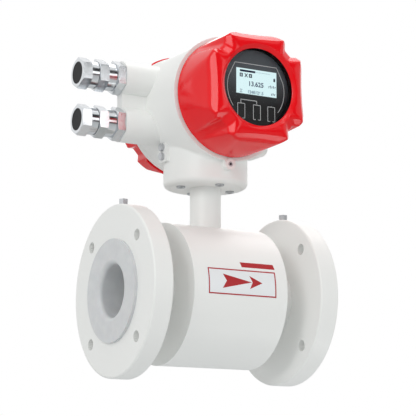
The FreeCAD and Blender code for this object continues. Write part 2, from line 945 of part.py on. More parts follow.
def housing_hollow():
    neck_cut = cylinder("housing_neck", "neck_inner", BASE_CEILING + " - base_bottom", z="base_bottom")
    flange_cut = cylinder(
        "housing_flange_seat",
        "neck_flange_diameter + 2 * seat_gap",
        "neck_flange_thickness + base_edge",
        z="base_bottom - base_edge",
    )
    gasket_cut = cylinder(
        "housing_gasket_seat",
        "neck_gasket_outer + 2 * fit_gap",
        "neck_gasket_thickness",
        z=NECK_TOP,
    )
    floor = NECK_TOP + " + base_floor"
    base_cut = cylinder(
        "housing_base_hollow",
        "base_diameter - 2 * base_wall",
        f"{BASE_CEILING} - ( {floor} )",
        z=floor,
    )
    hollows = [
        chamber("front_chamber", f"- {COLLAR_END}", "bulkhead_front"),
        chamber("rear_chamber", "bulkhead_rear", COLLAR_END),
        neck_cut,
        flange_cut,
        gasket_cut,
        base_cut,
    ]
    for name, level in ENTRIES:
        hollows.append(
            cylinder(
                name + "_entry_bore",
                "entry_bore",
                "entry_end - drum_diameter / 4",
                ALONG_MINUS_X,
                x="- drum_diameter / 4",
                y="entry_y",
                z=entry_height(level),
            )
        )
    return hollows


def housing_holes():
    holes = []
    for number, (right, back) in enumerate(QUARTERS):
        holes.append(
            cylinder(
                f"base_tapping_{number}",
                "head_screw_thread",
                "head_screw_depth + 1",
                x=f"{right} * head_screw_circle / 2",
                y=f"{back} * head_screw_circle / 2",
                z=NECK_TOP,
            )
        )
    holes.append(
        cylinder(
            "lock_tapping",
            "lock_screw_thread",
            "lock_screw_length + 1",
            ALONG_Y,
            y="- lock_boss_face",
            z="drum_height - lock_boss_drop",
        )
    )
    for number, level in enumerate((1, -1)):
        holes.append(
            cylinder(
                f"earth_tapping_{number}",
                "earth_screw_thread",
                "earth_screw_depth",
                ALONG_X,
                x="- earth_pad_reach",
                y="earth_pad_y",
                z=earth_height(level),
            )
        )
    return holes


def converter_housing():
    pads = [entry_web(), earth_pad(), side_lug()] + entry_bosses() + lock_boss()
    outer = fuse("housing_outer", [blended_trunk()] + pads)
    hollow = fuse("housing_inner", housing_hollow() + housing_holes())
    return keep(cut("housing_cut", outer, hollow), "converter_housing")


def lock_screw():
    """Set screw that locks the front cover, driven by its hexagon socket."""
    spot = {"y": "- lock_boss_face", "z": "drum_height - lock_boss_drop"}
    rod = cylinder("lock_rod", "lock_screw_thread", "lock_screw_length", ALONG_Y, **spot)
    socket = hexagon("lock_socket", "lock_screw_thread / 2", "lock_screw_length / 3", ALONG_Y, **spot)
    return keep(cut("lock_screw_cut", rod, socket), "cover_lock_screw")


def earth_screws():
    """The two screws of the outer earth terminal; they share one node."""
    screws = []
    for number, level in enumerate((1, -1)):
        spot = {"y": "earth_pad_y", "z": earth_height(level)}
        name = f"earth_screw_{number}_"
        head = cylinder(
            name + "head",
            "earth_screw_head",
            "earth_screw_head_height",
            ALONG_MINUS_X,
            x="- earth_pad_reach",
            **spot,
        )
        shank = cylinder(
            name + "shank",
            "earth_screw_thread - thread_play",
            "earth_screw_depth",
            ALONG_X,
            x="- earth_pad_reach",
            **spot,
        )
        screws.append(fuse(name + "solid", [head, shank]))
    return keep(fuse("earth_screw_set", screws), "earth_screws")


# ---------------------------------------------------------------- screwed covers

THREAD_BORE = "( collar_diameter / 2 + cover_fit )"
SEAL_BORE = "( collar_diameter / 2 + 2 * cover_fit + seal_section )"
COVER_START = "( drum_length / 2 + cover_gap )"
COVER_STEP = "( drum_length / 2 + cover_gap + cover_thread_length )"


def slope(start, along, tilt):
    """Point and direction of a line in a plane through the cover's axis."""
    radius, face = start
    lean = math.radians(tilt)
    point = FreeCAD.Vector(radius, face, 0)
    step = FreeCAD.Vector(math.sin(lean), -along * math.cos(lean), 0)
    return point, step


def scoop(side, face, floor, tilt):
    """Large round cutter that hollows one lobe's outer side, lying along +X of the cover."""
    point, step = slope((floor, side * face), side, tilt)
    outward = FreeCAD.Vector(-side * step.y, side * step.x, 0)
    reach = size("scoop_radius")
    run = size("drum_diameter") / 2
    start = point + outward * reach - step * run / 2
    return Part.makeCylinder(reach, run * 1.5, start, step)


def valley(side, face, floor, tilt, width):
    """Trapezoid cutter for the valley between two lobes, lying along +X of the cover."""
    point, step = slope((floor, side * face), side, tilt)
    outward = FreeCAD.Vector(-side * step.y, side * step.x, 0)
    depth = size("drum_diameter") / 4
    spread = width / 2 + depth * math.tan(math.radians(size("valley_side")))
    start = point - step * depth
    corners = [
        start + Z_AXIS * width / 2,
        start + outward * depth + Z_AXIS * spread,
        start + outward * depth - Z_AXIS * spread,
        start - Z_AXIS * width / 2,
    ]
    section = Part.Face(Part.makePolygon(corners + corners[:1]))
    return section.extrude(step * (4 * depth + width))


def grip_cutter(name, scoop_tools, valley_tools):
    """Four scoops and four valleys round the cover's axis, as one cutting tool."""
    tools = []
    for quarter in range(4):
        for turn, shapes in ((0, scoop_tools), (45, valley_tools)):
            for shape in shapes:
                copy = shape.copy()
                copy.rotate(ORIGIN, Y_AXIS, 90 * quarter + turn)
                tools.append(copy)
    cutter = doc.addObject("Part::Feature", name)
    cutter.Shape = tools[0].multiFuse(tools[1:])
    return place(cutter, z="drum_height")


def front_cover():
    """Window cover: bezel, glass seat, inner cavity, thread bore and seal recess."""
    seat = "glass_diameter / 2 + cover_fit"
    bezel_floor = "front_cover_face - bezel_depth"
    glass_seat = bezel_floor + " - bezel_lip"
    corners = [
        (SEAL_BORE, COVER_START),
        ("front_cover_rear_diameter / 2", COVER_START),
        ("front_cover_front_diameter / 2", "front_cover_face - front_cover_edge_drop"),
        ("bezel_outer / 2", "front_cover_face"),
        ("bezel_inner / 2", bezel_floor),
        ("bezel_inner / 2", glass_seat),
        (seat, glass_seat),
        (seat, "front_throat_end"),
        ("front_throat / 2", "front_throat_end"),
        ("front_throat / 2", "front_cavity_end"),
        ("cover_cavity / 2", "front_cavity_end"),
        ("cover_cavity / 2", COVER_STEP),
        (THREAD_BORE, COVER_STEP),
        (THREAD_BORE, f"{COVER_START} + seal_recess"),
        (SEAL_BORE, f"{COVER_START} + seal_recess"),
    ]
    forward = [(radius, f"- ( {along} )") for radius, along in corners]
    blank = place(turned("front_cover_blank", "Y", forward), z="drum_height")
    face = size("front_cover_face")
    width = size("front_valley_width")
    cutter = grip_cutter(
        "front_cover_grips",
        [
            scoop(FRONT, face, size("front_scoop_floor"), size("front_scoop_tilt")),
            scoop(FRONT, face, size("front_bevel_floor"), size("front_bevel_tilt")),
        ],
        [
            valley(FRONT, face, size("front_valley_floor"), size("front_valley_tilt"), width),
            valley(FRONT, face, size("front_facet_floor"), size("front_facet_tilt"), width),
        ],
    )
    return keep(cut("front_cover_cut", blank, cutter), "front_cover")


def rear_cover():
    """Blind cover of the terminal chamber."""
    inside = "rear_cover_face - rear_cover_wall"
    corners = [
        (SEAL_BORE, COVER_START),
        ("rear_cover_rim / 2", COVER_START),
        ("rear_cover_rim / 2", f"{COVER_START} + rear_cover_rim_width"),
        ("rear_cover_flank / 2", f"{COVER_START} + rear_cover_rim_width"),
        ("rear_cover_back / 2", "rear_cover_face"),
        ("0", "rear_cover_face"),
        ("0", inside),
        ("cover_cavity / 2", inside),
        ("cover_cavity / 2", COVER_STEP),
        (THREAD_BORE, COVER_STEP),
        (THREAD_BORE, f"{COVER_START} + seal_recess"),
        (SEAL_BORE, f"{COVER_START} + seal_recess"),
    ]
    blank = place(turned("rear_cover_blank", "Y", corners), z="drum_height")
    face = size("rear_cover_face")
    cutter = grip_cutter(
        "rear_cover_grips",
        [scoop(REAR, face, size("rear_scoop_floor"), size("rear_scoop_tilt"))],
        [
            valley(
                REAR,
                face,
                size("rear_valley_floor"),
                size("rear_valley_tilt"),
                size("rear_valley_width"),
            )
        ],
    )
    return keep(cut("rear_cover_cut", blank, cutter), "rear_cover")


def cover_seal(label, side):
    """Sealing ring that rides in the cover's recess round the threaded collar."""
    inner = "collar_diameter / 2 + cover_fit"
    near = f"{side} * ( drum_length / 2 + seat_gap )"
    far = f"{side} * ( drum_length / 2 + seat_gap + seal_length )"
    corners = [
        (inner, near),
        (inner + " + seal_section", near),
        (inner + " + seal_section", far),
        (inner, far),
    ]
    return keep(place(turned(label + "_ring", "Y", corners), z="drum_height"), label)


# ---------------------------------------------------------------- window and display

GLASS_FRONT = "( front_cover_face - bezel_depth - bezel_lip )"
GLASS_BACK = "( front_cover_face - bezel_depth - bezel_lip - glass_thickness )"


def front_disc(name, diameter, front, thickness):
    """A disc on the drum's axis whose front face lies at the given depth."""
    return cylinder(name, diameter, thickness, ALONG_Y, y=f"- ( {front} )", z="drum_height")


def window_pieces():
    """Glass, gasket and screwed ring that sit in the front cover."""
    keep(front_disc("window_disc", "glass_diameter", GLASS_FRONT, "glass_thickness"), "window_glass")
    gasket = front_disc("gasket_disc", "glass_diameter", GLASS_BACK, "window_gasket_thickness")
    gasket_hole = front_disc(
        "gasket_hole", "window_gasket_inner", GLASS_BACK, "window_gasket_thickness"
    )
    keep(cut("gasket_cut", gasket, gasket_hole), "window_gasket")
    ring_front = GLASS_BACK + " - window_gasket_thickness"
    ring = front_disc("ring_disc", "glass_diameter", ring_front, "window_ring_thickness")
    ring_hole = front_disc("ring_hole", "window_ring_inner", ring_front, "window_ring_thickness")
    keep(cut("ring_cut", ring, ring_hole), "window_ring")


LCD_BACK = "( panel_face - lcd_sink - lcd_thickness )"
BOARD_BACK = "( panel_face - lcd_sink - lcd_thickness - board_thickness )"


def lcd_block(name, gap, front, depth):
    return box(
        name,
        f"lcd_width + 2 * {gap}",
        depth,
        f"lcd_height + 2 * {gap}",
        f"lcd_x - lcd_width / 2 - {gap}",
        f"- ( {front} )",
        f"drum_height + lcd_z - lcd_height / 2 - {gap}",
    )


def display_pieces():
    """Front panel with its display window, the screen and the board behind them."""
    plate = front_disc("panel_plate", "panel_diameter", "panel_face", "panel_skirt")
    inside = front_disc(
        "panel_inside",
        "panel_diameter - 2 * panel_skirt_wall",
        "panel_face - panel_thickness",
        "panel_skirt - panel_thickness",
    )
    opening = lcd_block("panel_opening", "fit_gap", "panel_face", "panel_thickness")
    keep(cut("panel_cut", plate, fuse("panel_hollow", [inside, opening])), "display_panel")
    keep(lcd_block("lcd_form", "0", "panel_face - lcd_sink", "lcd_thickness"), "lcd_screen")
    board = front_disc("display_board_disc", "display_board_diameter", LCD_BACK, "board_thickness")
    keep(board, "display_board")


def posts(label, front, back):
    """Three spacer posts on one circle, as one node."""
    pillars = []
    for number in range(3):
        turn = math.radians(90 + 120 * number)
        pillars.append(
            cylinder(
                f"{label}_{number}",
                "post_diameter",
                f"{front} - ( {back} )",
                ALONG_Y,
                x=f"post_circle / 2 * {math.cos(turn):.6f}",
                y=f"- ( {front} )",
                z=f"drum_height + post_circle / 2 * {math.sin(turn):.6f}",
            )
        )
    return keep(fuse(label + "_set", pillars), label)


def electronics():
    """Main board on posts from the bulkhead, its power module, and the display's posts."""
    keep(
        front_disc("main_board_disc", "main_board_diameter", "main_board_front", "board_thickness"),
        "main_board",
    )
    posts("main_board_posts", "main_board_front - board_thickness", "- bulkhead_front")
    posts("display_posts", BOARD_BACK, "main_board_front")
    module = box(
        "power_module_form",
        "power_module_width",
        "power_module_depth",
        "power_module_height",
        "- power_module_width / 2",
        "board_thickness - main_board_front",
        "drum_height - power_module_height / 2",
    )
    keep(module, "power_module")


def terminal_pieces():
    """Terminal block on the rear of the bulkhead with its row of clamp screws."""
    block = box(
        "terminal_form",
        "terminal_width",
        "terminal_depth",
        "terminal_height",
        "- terminal_width / 2",
        "bulkhead_rear",
        "drum_height - terminal_height / 2",
    )
    holes = []
    screws = []
    for number in range(6):
        spot = {
            "x": f"( {number} - 2.5 ) * terminal_pitch",
            "y": "bulkhead_rear + terminal_depth / 2",
            "z": "drum_height",
        }
        name = f"terminal_screw_{number}"
        holes.append(
            cylinder(name + "_hole", "terminal_screw", "terminal_depth / 2", ALONG_Y, **spot)
        )
        screws.append(
            cylinder(name, "terminal_screw", "terminal_depth / 2 - fit_gap", ALONG_Y, **spot)
        )
    keep(cut("terminal_cut", block, fuse("terminal_holes", holes)), "terminal_block")
    keep(fuse("terminal_screw_set", screws), "terminal_screws")


# ---------------------------------------------------------------- cable glands


def entry_point(level, out):
    """Where a gland piece starts: its distance out from the end of the entry boss."""
    return {"x": f"- ( entry_end + {out} )", "y": "entry_y", "z": entry_height(level)}


def bevelled_hexagon(name, across, length, level, out):
    """Hexagon along -X whose corners are turned down at both ends."""
    corner = f"{across} * {1 / math.sqrt(3):.6f}"
    profile = [
        ("0", "0"),
        (f"{across} / 2", "0"),
        (corner, "gland_chamfer"),
        (corner, f"{length} - gland_chamfer"),
        (f"{across} / 2", length),
        ("0", length),
    ]
    envelope = place(turned(name + "_envelope", "Z", profile), ALONG_MINUS_X, **entry_point(level, out))
    prism = hexagon(name + "_prism", across, length, ALONG_MINUS_X, **entry_point(level, out))
    return common(name, prism, envelope)


def gland_cylinder(name, diameter, length, level, out):
    return cylinder(name, diameter, length, ALONG_MINUS_X, **entry_point(level, out))


ROUND_AT = "gland_third_length"
MID_AT = "( gland_third_length + gland_round_length )"
SPIGOT_AT = "( gland_third_length + gland_round_length + gland_mid_length )"
NUT_AT = "( gland_third_length + gland_round_length + gland_mid_length + gland_nut_gap )"
NUT_HEX_AT = f"( {NUT_AT} + gland_nut_round_length )"
NUT_END = f"( {NUT_HEX_AT} + gland_nut_length )"
DISC_AT = f"( {NUT_END} - gland_disc_sink - gland_disc_thickness )"


def gland_entry(level_name, level):
    name = level_name + "_gland_entry"
    thread = gland_cylinder(
        name + "_thread", "entry_bore", "gland_thread_length", level, "( - gland_thread_length )"
    )
    third = bevelled_hexagon(name + "_hexagon", "gland_third_across", "gland_third_length", level, "0")
    barrel = gland_cylinder(name + "_round", "gland_round", "gland_round_length", level, ROUND_AT)
    bore = gland_cylinder(
        name + "_bore",
        "gland_bore",
        f"gland_thread_length + {MID_AT}",
        level,
        "( - gland_thread_length )",
    )
    return keep(cut(name + "_cut", fuse(name + "_solid", [thread, third, barrel]), bore), name)


def gland_body(level_name, level):
    name = level_name + "_gland_body"
    middle = bevelled_hexagon(name + "_hexagon", "gland_mid_across", "gland_mid_length", level, MID_AT)
    spigot = gland_cylinder(name + "_spigot", "gland_spigot", "gland_spigot_length", level, SPIGOT_AT)
    bore = gland_cylinder(
        name + "_bore", "gland_bore", "gland_mid_length + gland_spigot_length", level, MID_AT
    )
    return keep(cut(name + "_cut", fuse(name + "_solid", [middle, spigot]), bore), name)


def gland_bush(level_name, level):
    name = level_name + "_gland_bush"
    start = f"( {SPIGOT_AT} + gland_spigot_length - gland_bush_length )"
    sleeve = gland_cylinder(name + "_sleeve", "gland_bore", "gland_bush_length", level, start)
    bore = gland_cylinder(name + "_bore", "gland_bush_bore", "gland_bush_length", level, start)
    return keep(cut(name + "_cut", sleeve, bore), name)


def gland_nut(level_name, level):
    name = level_name + "_gland_nut"
    barrel = gland_cylinder(name + "_round", "gland_nut_round", "gland_nut_round_length", level, NUT_AT)
    head = bevelled_hexagon(
        name + "_hexagon", "gland_nut_across", "gland_nut_length", level, NUT_HEX_AT
    )
    cavity = gland_cylinder(
        name + "_cavity",
        "gland_spigot + 2 * gland_nut_fit",
        f"{DISC_AT} - {NUT_AT} - gland_nut_lip",
        level,
        NUT_AT,
    )
    mouth = gland_cylinder(
        name + "_mouth",
        "gland_disc + 2 * gland_nut_fit",
        "gland_disc_thickness + gland_disc_sink + gland_nut_fit",
        level,
        f"( {DISC_AT} - gland_nut_fit )",
    )
    passage = gland_cylinder(name + "_passage", "gland_bore", f"{NUT_END} - {NUT_AT}", level, NUT_AT)
    solid = fuse(name + "_solid", [barrel, head])
    hollow = fuse(name + "_hollow", [cavity, mouth, passage])
    return keep(cut(name + "_cut", solid, hollow), name)


def gland_disc(level_name, level):
    name = level_name + "_gland_disc"
    return keep(
        gland_cylinder(name + "_form", "gland_disc", "gland_disc_thickness", level, DISC_AT), name
    )


# ---------------------------------------------------------------- build, check and export


def build():
    measuring_tube()
    liner()
    for name, side in (("inlet", INLET), ("outlet", OUTLET)):
        flange(name + "_flange", side)
        rim_screw(name + "_earth_screw", side)
        end_plate(name + "_end_plate", side)
    for name, side in (("front", FRONT), ("rear", REAR)):
        electrode(name + "_electrode", side)
        electrode_bush(name + "_electrode_bush", side)
        cover_seal(name + "_cover_seal", side)
    electrode_nuts()
    downward = FreeCAD.Rotation(X_AXIS, 180)
    for name, turn in (("upper", UPRIGHT), ("lower", downward)):
        pole_piece(name + "_pole_piece", turn)
        excitation_coil(name + "_coil", turn)
    yoke()
    coil_housing()
    flow_label()
    neck_tube()
    neck_flange()
    neck_gasket()
    head_screws()
    converter_housing()
    lock_screw()
    earth_screws()
    front_cover()
    rear_cover()
    window_pieces()
    display_pieces()
    electronics()
    terminal_pieces()
    for name, level in ENTRIES:
        gland_entry(name, level)
        gland_body(name, level)
        gland_bush(name, level)
        gland_nut(name, level)
        gland_disc(name, level)
    doc.recompute()


def check_and_export():
    for obj in doc.Objects:
        if "Invalid" in obj.State or "Error" in obj.State:
            raise RuntimeError(f"{obj.Label} did not build: {obj.State}")
    for obj in parts:
        if obj.Shape.isNull() or not obj.Shape.isValid() or not obj.Shape.Solids:
            raise RuntimeError(f"{obj.Label} has no valid solid")
    os.makedirs("parts", exist_ok=True)
    for obj in parts:
        obj.Shape.exportStep(os.path.join("parts", obj.Label + ".step"))
        print(f"{obj.Label:26s} solids {len(obj.Shape.Solids)}  volume {obj.Shape.Volume:12.1f}")


build()
check_and_export()
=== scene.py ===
import json
import math

import bmesh
import bpy
from mathutils import Matrix, Vector


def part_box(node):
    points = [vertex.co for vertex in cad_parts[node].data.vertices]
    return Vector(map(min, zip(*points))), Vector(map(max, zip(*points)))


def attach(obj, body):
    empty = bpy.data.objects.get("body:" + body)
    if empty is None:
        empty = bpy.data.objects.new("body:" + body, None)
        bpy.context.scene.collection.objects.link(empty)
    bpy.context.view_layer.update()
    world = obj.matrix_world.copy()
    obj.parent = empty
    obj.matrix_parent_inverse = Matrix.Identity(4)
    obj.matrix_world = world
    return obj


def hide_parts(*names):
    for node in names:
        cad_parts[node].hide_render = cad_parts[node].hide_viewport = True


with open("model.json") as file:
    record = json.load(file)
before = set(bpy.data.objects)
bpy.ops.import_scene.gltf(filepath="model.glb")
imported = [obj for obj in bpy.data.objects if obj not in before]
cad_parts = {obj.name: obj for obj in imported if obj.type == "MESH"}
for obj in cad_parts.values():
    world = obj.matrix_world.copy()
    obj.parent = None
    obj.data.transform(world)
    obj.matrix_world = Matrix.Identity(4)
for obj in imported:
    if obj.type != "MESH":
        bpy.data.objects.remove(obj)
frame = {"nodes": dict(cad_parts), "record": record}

# An empty start file may still hold its own cube, lamp and camera.
for leftover in ("Cube", "Light", "Camera"):
    if leftover in bpy.data.objects:
        bpy.data.objects.remove(bpy.data.objects[leftover])
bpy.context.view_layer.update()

MM = 0.001
FULL_TURN = 2 * math.pi


def new_object(name, data):
    """An object with the given data, linked to the scene."""
    made = bpy.data.objects.new(name, data)
    bpy.context.scene.collection.objects.link(made)
    return made


# ---------------------------------------------------------------- materials

PATTERN_LOW = 0.3
PATTERN_HIGH = 0.7


def linear(colour):
    """An sRGB hex colour as the linear red, green, blue and alpha that a shader takes."""
    parts = [int(colour[at : at + 2], 16) / 255 for at in (1, 3, 5)]
    return [p / 12.92 if p <= 0.04045 else ((p + 0.055) / 1.055) ** 2.4 for p in parts] + [1.0]


def add_node(material, kind, settings=None, links=None):
    """Adds one node, sets its inputs or its own properties, and links its inputs to outputs."""
    node = material.node_tree.nodes.new(kind)
    for name, value in (settings or {}).items():
        if isinstance(name, int) or name in node.inputs:
            node.inputs[name].default_value = value
        else:
            setattr(node, name, value)
    for name, output in (links or {}).items():
        material.node_tree.links.new(output, node.inputs[name])
    return node


def principled(name, colour, roughness, **sockets):
    """A material with one Principled shader, its constant values set on the shader itself."""
    material = bpy.data.materials.new(name)
    material.use_nodes = True
    material.node_tree.nodes.clear()
    settings = {"Base Color": linear(colour), "Roughness": roughness}
    settings.update({socket.replace("_", " "): value for socket, value in sockets.items()})
    shader = add_node(material, "ShaderNodeBsdfPrincipled", settings)
    add_node(material, "ShaderNodeOutputMaterial", None, {"Surface": shader.outputs["BSDF"]})
    return material, shader


def place_of(material, stretch=(1, 1, 1)):
    """The object's own coordinates, stretched where a pattern runs in one direction."""
    coordinates = add_node(material, "ShaderNodeTexCoord")
    mapping = add_node(
        material, "ShaderNodeMapping", {"Scale": stretch}, {"Vector": coordinates.outputs["Object"]}
    )
    return mapping.outputs["Vector"]


def unevenness(material, shader, spacing, depth, detail=2.0, stretch=(1, 1, 1)):
    """Bump from a noise whose waves are `spacing` mm apart and `depth` mm deep."""
    noise = add_node(
        material,
        "ShaderNodeTexNoise",
        {"Scale": 1 / (spacing * MM), "Detail": detail},
        {"Vector": place_of(material, stretch)},
    )
    bump = add_node(
        material, "ShaderNodeBump", {"Distance": depth * MM}, {"Height": noise.outputs["Fac"]}
    )
    material.node_tree.links.new(bump.outputs["Normal"], shader.inputs["Normal"])
    return noise.outputs["Fac"]


def mottled(material, shader, socket, pattern, low, high):
    """Lets a pattern move one socket between two values, numbers or hex colours."""
    ramp = add_node(material, "ShaderNodeValToRGB", None, {"Fac": pattern})
    for stop, value in zip(ramp.color_ramp.elements, (low, high)):
        stop.color = linear(value) if isinstance(value, str) else (value, value, value, 1)
    ramp.color_ramp.elements[0].position = PATTERN_LOW
    ramp.color_ramp.elements[1].position = PATTERN_HIGH
    material.node_tree.links.new(ramp.outputs["Color"], shader.inputs[socket])


def white_powder_coat():
    """Powder coat on steel and cast aluminium: satin white, with a faint orange peel."""
    material, shader = principled("white_powder_coat", "#F1F2F0", 0.38, Specular_IOR_Level=0.35)
    peel = unevenness(material, shader, 1.6, 0.006)
    mottled(material, shader, "Roughness", peel, 0.35, 0.43)
    return material


def red_gloss_enamel():
    """Stoved gloss enamel on die-cast covers: deep red over a slight waviness."""
    material, shader = principled("red_gloss_enamel", "#EF0F19", 0.14, Specular_IOR_Level=0.3)
    waves = unevenness(material, shader, 3.0, 0.006, detail=1.0)
    mottled(material, shader, "Roughness", waves, 0.12, 0.17)
    return material


def moulded_lining():
    """Moulded fluoropolymer lining: a cool light grey, waxy and slightly cloudy."""
    material, shader = principled(
        "moulded_fluoropolymer", "#D3D5D6", 0.42, Subsurface_Weight=0.05, Subsurface_Scale=0.002
    )
    cloud = unevenness(material, shader, 9.0, 0.02, detail=3.0)
    mottled(material, shader, "Base Color", cloud, "#CFD1D3", "#D7D9DA")
    return material


def turned_nickel_plate():
    """Nickel-plated turned brass: bright, with fine turning rings across the axis."""
    material, shader = principled("turned_nickel_plate", "#D6D9DC", 0.12, Metallic=1.0)
    # Real turning marks are finer; these are as coarse as they need to be to show.
    rings = add_node(
        material,
        "ShaderNodeTexWave",
        {"bands_direction": "X", "Scale": 1 / (0.35 * MM), "Distortion": 0.4},
        {"Vector": place_of(material)},
    )
    bump = add_node(
        material, "ShaderNodeBump", {"Distance": 0.004 * MM}, {"Height": rings.outputs["Fac"]}
    )
    material.node_tree.links.new(bump.outputs["Normal"], shader.inputs["Normal"])
    smudges = add_node(
        material,
        "ShaderNodeTexNoise",
        {"Scale": 1 / (6.0 * MM), "Detail": 3.0},
        {"Vector": place_of(material)},
    )
    mottled(material, shader, "Roughness", smudges.outputs["Fac"], 0.1, 0.2)
    return material


def zinc_plated_steel():
    """Zinc-plated steel screws: grey metal, softly crystalline."""
    material, shader = principled("zinc_plated_steel", "#C4C6C9", 0.45, Metallic=0.85)
    crystals = unevenness(material, shader, 0.9, 0.01)
    mottled(material, shader, "Roughness", crystals, 0.38, 0.52)
    return material


def brushed_stainless_steel():
    """Stainless steel rod: cool grey with fine drawn lines along its length."""
    material, shader = principled("brushed_stainless_steel", "#B4B5B6", 0.28, Metallic=1.0)
    lines = unevenness(material, shader, 0.5, 0.006, stretch=(1, 0.05, 1))
    mottled(material, shader, "Roughness", lines, 0.22, 0.36)
    return material


def black_rubber():
    """Moulded nitrile rubber: near black and dull, with a fine pitted skin."""
    material, shader = principled("nitrile_rubber", "#17181A", 0.62, Specular_IOR_Level=0.35)
    pits = unevenness(material, shader, 0.7, 0.02, detail=4.0)
    mottled(material, shader, "Roughness", pits, 0.55, 0.72)
    return material


def toughened_glass():
    """Toughened soda-lime window: nearly clear, a little rough so that lamps leave no specks."""
    material, shader = principled(
        "toughened_glass", "#0A1012", 0.12, Specular_IOR_Level=0.2, Alpha=0.08
    )
    unevenness(material, shader, 30.0, 0.004, detail=0.0)
    return material


def black_anodised_aluminium():
    """Black anodised turned ring: dark satin metal."""
    material, shader = principled("black_anodised_aluminium", "#1B1C1E", 0.35, Metallic=0.7)
    unevenness(material, shader, 0.6, 0.004)
    return material


def panel_polycarbonate_painted_light():
    """Printed front foil: charcoal with a velvet texture, and painted light and shade that make it
    lighter towards its top edge and near black towards its bottom.
    """
    material, shader = principled("panel_polycarbonate_painted_light", "#303338", 0.4)
    low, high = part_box("display_panel")
    height = add_node(material, "ShaderNodeSeparateXYZ", None, {"Vector": place_of(material)})
    painted_light_rise = add_node(
        material,
        "ShaderNodeMapRange",
        {"From Min": low.z, "From Max": high.z},
        {"Value": height.outputs["Z"]},
    )
    unevenness(material, shader, 0.6, 0.006)
    # Painted light and shade: the colour follows height, near black at the bottom and lighter grey
    # at the top.
    mottled(material, shader, "Base Color", painted_light_rise.outputs["Result"], "#0D0E10", "#565C62")
    return material


def lit_display():
    """Backlit liquid crystal: an even pale cyan glow behind a very fine dot grid."""
    material, shader = principled("lit_display", "#30383A", 0.35, Emission_Strength=1.08)
    # Real dots are finer; these are as coarse as they need to be to show.
    dots = add_node(
        material, "ShaderNodeTexChecker", {"Scale": 1 / (0.7 * MM)}, {"Vector": place_of(material)}
    )
    mottled(material, shader, "Emission Color", dots.outputs["Fac"], "#DAF7FB", "#E2FBFD")
    return material


def moulded_plastic(name, colour, roughness=0.45):
    """Injection-moulded housing plastic: an even colour under a fine spark texture."""
    material, shader = principled(name, colour, roughness)
    spark = unevenness(material, shader, 0.8, 0.01)
    mottled(material, shader, "Roughness", spark, roughness - 0.06, roughness + 0.08)
    return material


def solder_mask():
    """Glass-fibre board under green solder mask, through which the weave shows faintly."""
    material, shader = principled("green_solder_mask", "#1F5A37", 0.3)
    weave = add_node(
        material, "ShaderNodeTexBrick", {"Scale": 1 / (3.0 * MM)}, {"Vector": place_of(material)}
    )
    mottled(material, shader, "Base Color", weave.outputs["Fac"], "#1B5331", "#256A41")
    return material


def wound_copper():
    """Enamelled copper wire wound in layers: brown-gold with a ridge for each turn."""
    material, shader = principled("enamelled_copper_wire", "#A8592C", 0.3, Metallic=0.9)
    turns = add_node(
        material,
        "ShaderNodeTexWave",
        {"bands_direction": "Z", "Scale": 1 / (0.8 * MM)},
        {"Vector": place_of(material)},
    )
    bump = add_node(
        material, "ShaderNodeBump", {"Distance": 0.1 * MM}, {"Height": turns.outputs["Fac"]}
    )
    material.node_tree.links.new(bump.outputs["Normal"], shader.inputs["Normal"])
    return material


def laminated_iron():
    """Rolled magnet iron: dark, slightly oily grey with the grain of its rolling."""
    material, shader = principled("rolled_magnet_iron", "#5A5B5E", 0.45, Metallic=1.0)
    grain = unevenness(material, shader, 1.5, 0.02, stretch=(0.1, 1, 1))
    mottled(material, shader, "Roughness", grain, 0.36, 0.55)
    return material


def label_film():
    """White polyester label film: smooth and a shade cooler than the paint."""
    material, shader = principled("white_label_film", "#EDF0F2", 0.28)
    unevenness(material, shader, 4.0, 0.01, detail=1.0)
    return material


def printing_ink(name, colour, roughness=0.35):
    """Screen-printed ink: a thin flat colour, very slightly uneven."""
    material, shader = principled(name, colour, roughness)
    unevenness(material, shader, 0.8, 0.003)
    return material


FINISHES = {
    "white_paint": white_powder_coat(),
    "red_paint": red_gloss_enamel(),
    "lining": moulded_lining(),
    "electrode_steel": brushed_stainless_steel(),
    "bush_plastic": moulded_plastic("bush_plastic", "#E6E4DC"),
    "copper_wire": wound_copper(),
    "magnet_iron": laminated_iron(),
    "screw_steel": zinc_plated_steel(),
    "black_rubber": black_rubber(),
    "window_glass": toughened_glass(),
    "anodised_ring": black_anodised_aluminium(),
    "panel_plastic": panel_polycarbonate_painted_light(),
    "lcd_panel": lit_display(),
    "circuit_board": solder_mask(),
    "module_plastic": moulded_plastic("module_plastic", "#26282B"),
    "terminal_plastic": moulded_plastic("terminal_plastic", "#4E8A5B"),
    "label_foil": label_film(),
    "nickel_plate": turned_nickel_plate(),
}
RED_INK = printing_ink("red_screen_ink", "#B3151D")
PANEL_INK = printing_ink("pale_panel_ink", "#E0E3E4", 0.4)
DARK_DOTS = printing_ink("dark_display_dots", "#0C1240", 0.4)
MID_DOTS = printing_ink("mid_display_dots", "#1D2F66", 0.4)
FAINT_DOTS = printing_ink("faint_display_dots", "#9DB9CC", 0.4)

for part in frame["record"]["subparts"]:
    node = frame["nodes"][part["node"]]
    node.data.materials.clear()
    node.data.materials.append(FINISHES[part["material_slot"]])


# ---------------------------------------------------------------- making pieces

WELD = 1e-6
SHARP_EDGE = math.radians(40)
ROUNDED_EDGE = math.radians(25)


def finished(name, bm, material, body):
    """Turns a bmesh into a smooth-shaded object in a material slot, riding on a body."""
    mesh = bpy.data.meshes.new(name)
    bm.to_mesh(mesh)
    bm.free()
    mesh.shade_smooth()
    mesh.set_sharp_from_angle(angle=SHARP_EDGE)
    mesh.materials.append(material)
    piece = new_object(name, mesh)
    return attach(piece, body)


def slice_across(bm, place, normal):
    """Divides all faces along one plane."""
    bmesh.ops.bisect_plane(
        bm, geom=bm.verts[:] + bm.edges[:] + bm.faces[:], plane_co=place, plane_no=normal
    )


